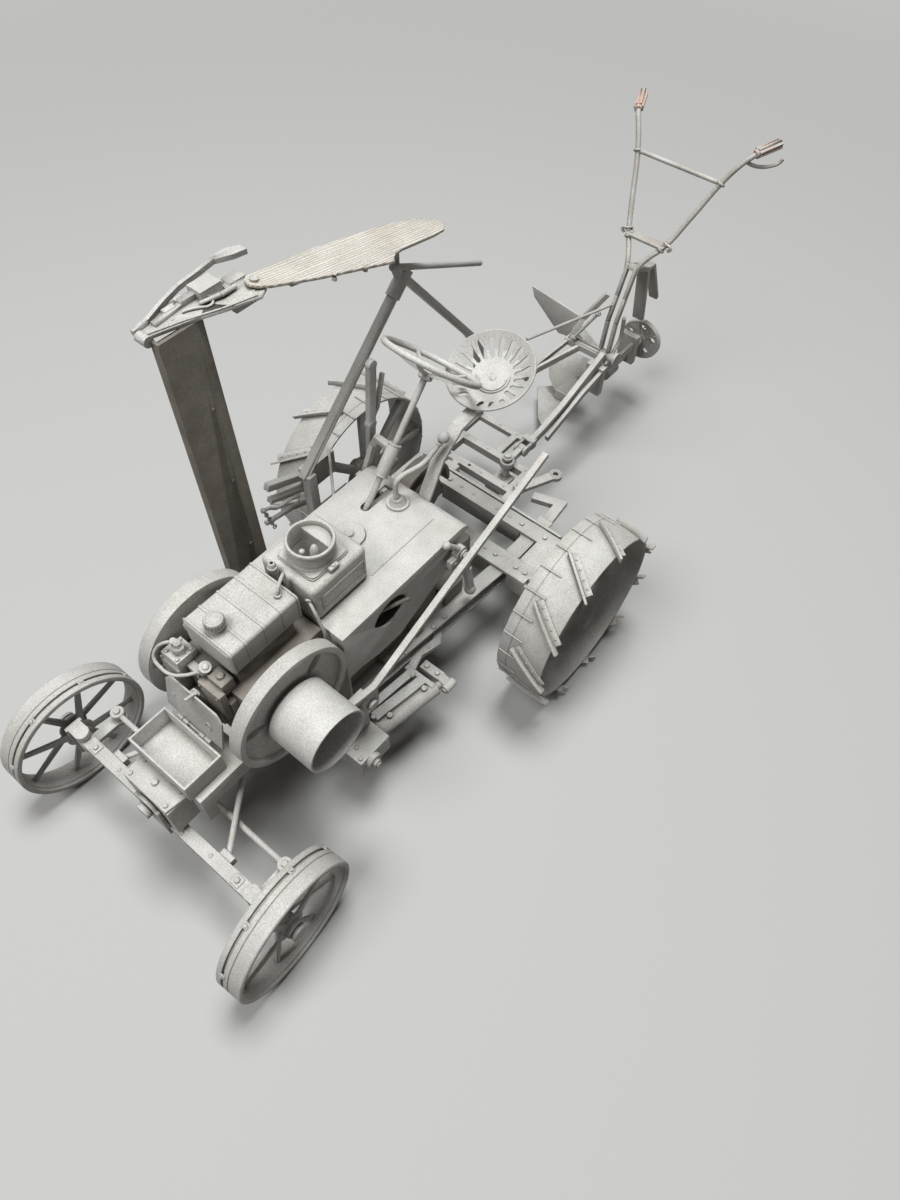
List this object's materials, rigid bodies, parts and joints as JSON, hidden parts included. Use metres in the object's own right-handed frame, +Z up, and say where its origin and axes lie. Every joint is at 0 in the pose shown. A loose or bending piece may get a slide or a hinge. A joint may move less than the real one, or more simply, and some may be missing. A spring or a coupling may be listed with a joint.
{
  "type": "model tractor with mower and plough",
  "caption": "Scale model of an early single-cylinder farm tractor with flywheels and belt pulley, a raised side mower and a two-handled turning plough.",
  "frame": {"origin": "on the ground under the middle of the whole outfit", "axes": "+X towards the tractor's front wheels, +Y to the driver's left, +Z up"},
  "size_m": [0.5481, 0.222, 0.254],
  "materials": {
    "grey_metal": "bare blasted casting metal, matte",
    "light_metal": "bare blasted casting metal, matte and pale",
    "dark_metal": "bare casting metal, shaded and slightly brown",
    "shade_metal": "bare etched sheet, matte brown grey",
    "board_metal": "bare etched sheet with an engraved wood grain",
    "handle_metal": "bare metal rod with coppery grips"
  },
  "bodies": {
    "chassis": {"frame_rails": "grey_metal", "front_bolster": "grey_metal", "rear_axle": "grey_metal", "rear_crossbeam": "grey_metal", "hitch_frame": "grey_metal", "toolbox": "grey_metal", "engine_block": "dark_metal", "fuel_tank": "grey_metal", "hopper": "grey_metal", "filler_ring": "grey_metal", "hopper_baffle": "grey_metal", "injection_pump": "grey_metal", "injector": "grey_metal", "fuel_pipe": "grey_metal", "valve_box": "dark_metal", "drain_pipe": "grey_metal", "whistle": "grey_metal", "gear_cover": "grey_metal", "gearbox": "dark_metal", "steering_tube": "grey_metal", "brake_quadrant": "grey_metal", "seat_spring": "grey_metal", "seat": "light_metal", "side_gearbox": "grey_metal", "shaft_housing": "grey_metal", "crank_arm": "grey_metal", "mower_yoke": "grey_metal", "support_frame": "grey_metal", "frame_bolts": "grey_metal"},
    "lid": {"toolbox_lid": "grey_metal"},
    "cap": {"tank_cap": "grey_metal"},
    "front_axle": {"axle_bar": "grey_metal", "stay_rods": "grey_metal"},
    "hub_left": {"knuckle_left": "grey_metal"},
    "hub_right": {"knuckle_right": "grey_metal"},
    "front_wheel_l": {"front_wheel_left": "grey_metal"},
    "front_wheel_r": {"front_wheel_right": "grey_metal"},
    "tie": {"tie_rod": "grey_metal"},
    "crank": {"crankshaft": "dark_metal", "flywheel_left": "grey_metal", "flywheel_right": "grey_metal", "belt_pulley": "light_metal"},
    "steering": {"steering_shaft": "grey_metal", "steering_wheel": "light_metal"},
    "gear_stick": {"gear_lever": "grey_metal"},
    "brake": {"brake_lever": "grey_metal"},
    "rocker": {"rock_arm": "grey_metal"},
    "lift_lever": {"hand_lever": "grey_metal"},
    "rear_wheel_l": {"rear_wheel_left": "grey_metal", "rear_lugs_left": "grey_metal"},
    "rear_wheel_r": {"rear_wheel_right": "grey_metal", "rear_lugs_right": "grey_metal"},
    "mower": {"mower_bar": "shade_metal", "mower_shoe": "grey_metal"},
    "board": {"swath_board": "board_metal"},
    "plough_head": {"plough_clevis": "grey_metal"},
    "plough_frame": {"plough_beam": "grey_metal", "plough_handles": "handle_metal"},
    "plough_turner": {"plough_bodies": "grey_metal", "index_disc": "grey_metal"}
  },
  "joints": [
    {"name": "lid_hinge", "type": "hinge", "parent": "chassis", "child": "lid", "pos_m": [0.2014, 0, 0.1002], "axis": [0, 1, 0], "range_deg": [0, 103]},
    {"name": "cap_turn", "type": "hinge", "parent": "chassis", "child": "cap", "pos_m": [0.1718, 0, 0.158], "axis": [0, 0, 1], "continuous": true},
    {"name": "axle_tilt", "type": "hinge", "parent": "chassis", "child": "front_axle", "pos_m": [0.2348, 0, 0.072], "axis": [1, 0, 0], "range_deg": [-8, 8]},
    {"name": "steer_left", "type": "hinge", "parent": "front_axle", "child": "hub_left", "pos_m": [0.2353, 0.0665, 0.05], "axis": [0, 0, 1], "range_deg": [-22, 22]},
    {"name": "steer_right", "type": "hinge", "parent": "front_axle", "child": "hub_right", "pos_m": [0.2353, -0.0665, 0.05], "axis": [0, 0, 1], "range_deg": [-22, 22]},
    {"name": "tie_swing", "type": "hinge", "parent": "hub_left", "child": "tie", "pos_m": [0.2143, 0.0665, 0.051], "axis": [0, 0, 1], "range_deg": [-22, 22]},
    {"name": "steering_turn", "type": "hinge", "parent": "chassis", "child": "steering", "pos_m": [0.00645, -0.015, 0.187], "axis": [-0.6494, 0, 0.7604], "range_deg": [-88, 88]},
    {"name": "front_roll_left", "type": "hinge", "parent": "hub_left", "child": "front_wheel_l", "pos_m": [0.23268, 0.08377, 0.0402], "axis": [-0.0645, 0.9979, 0], "continuous": true},
    {"name": "front_roll_right", "type": "hinge", "parent": "hub_right", "child": "front_wheel_r", "pos_m": [0.2338, -0.0839, 0.0402], "axis": [0, 1, 0], "continuous": true},
    {"name": "crank_turn", "type": "hinge", "parent": "chassis", "child": "crank", "pos_m": [0.1651, 0, 0.1125], "axis": [0, 1, 0], "continuous": true},
    {"name": "gear_shift", "type": "hinge", "parent": "chassis", "child": "gear_stick", "pos_m": [0.0458, -0.0035, 0.1348], "axis": [0, 1, 0], "range_deg": [-5, 8]},
    {"name": "brake_pull", "type": "hinge", "parent": "chassis", "child": "brake", "pos_m": [0.0254, -0.0403, 0.0868], "axis": [0, 1, 0], "range_deg": [-8, 6]},
    {"name": "rocker_turn", "type": "hinge", "parent": "chassis", "child": "rocker", "pos_m": [0.0428, 0.039, 0.118], "axis": [0, 1, 0], "range_deg": [-8, 8]},
    {"name": "lift_pull", "type": "hinge", "parent": "chassis", "child": "lift_lever", "pos_m": [0.1288, 0.048, 0.08], "axis": [0, 1, 0], "range_deg": [-4, 9]},
    {"name": "rear_roll_left", "type": "hinge", "parent": "chassis", "child": "rear_wheel_l", "pos_m": [-0.0052, 0.091, 0.06], "axis": [0, 1, 0], "continuous": true},
    {"name": "rear_roll_right", "type": "hinge", "parent": "chassis", "child": "rear_wheel_r", "pos_m": [-0.0052, -0.091, 0.06], "axis": [0, 1, 0], "continuous": true},
    {"name": "mower_fold", "type": "hinge", "parent": "chassis", "child": "mower", "pos_m": [0.1068, -0.0614, 0.02], "axis": [1, 0, 0], "range_deg": [0, 88]},
    {"name": "board_swing", "type": "hinge", "parent": "mower", "child": "board", "pos_m": [0.06775, -0.063, 0.25022], "axis": [-0.1736, 0, 0.9848], "range_deg": [-4, 6]},
    {"name": "plough_yaw", "type": "hinge", "parent": "chassis", "child": "plough_head", "pos_m": [-0.0782, -0.0135, 0.055], "axis": [0, 0, 1], "range_deg": [-7, 7]},
    {"name": "plough_lift", "type": "hinge", "parent": "plough_head", "child": "plough_frame", "pos_m": [-0.0952, -0.0135, 0.0555], "axis": [0, 1, 0], "range_deg": [0, 12]},
    {"name": "plough_turn", "type": "hinge", "parent": "plough_frame", "child": "plough_turner", "pos_m": [-0.2152, -0.0135, 0.0557], "axis": [1, 0, 0], "range_deg": [0, 90]}
  ],
  "couplings": [
    {"joint": "steer_left", "follows": "steering_turn", "ratio": 0.25},
    {"joint": "steer_right", "follows": "steering_turn", "ratio": 0.25},
    {"joint": "tie_swing", "follows": "steering_turn", "ratio": -0.25}
  ]
}
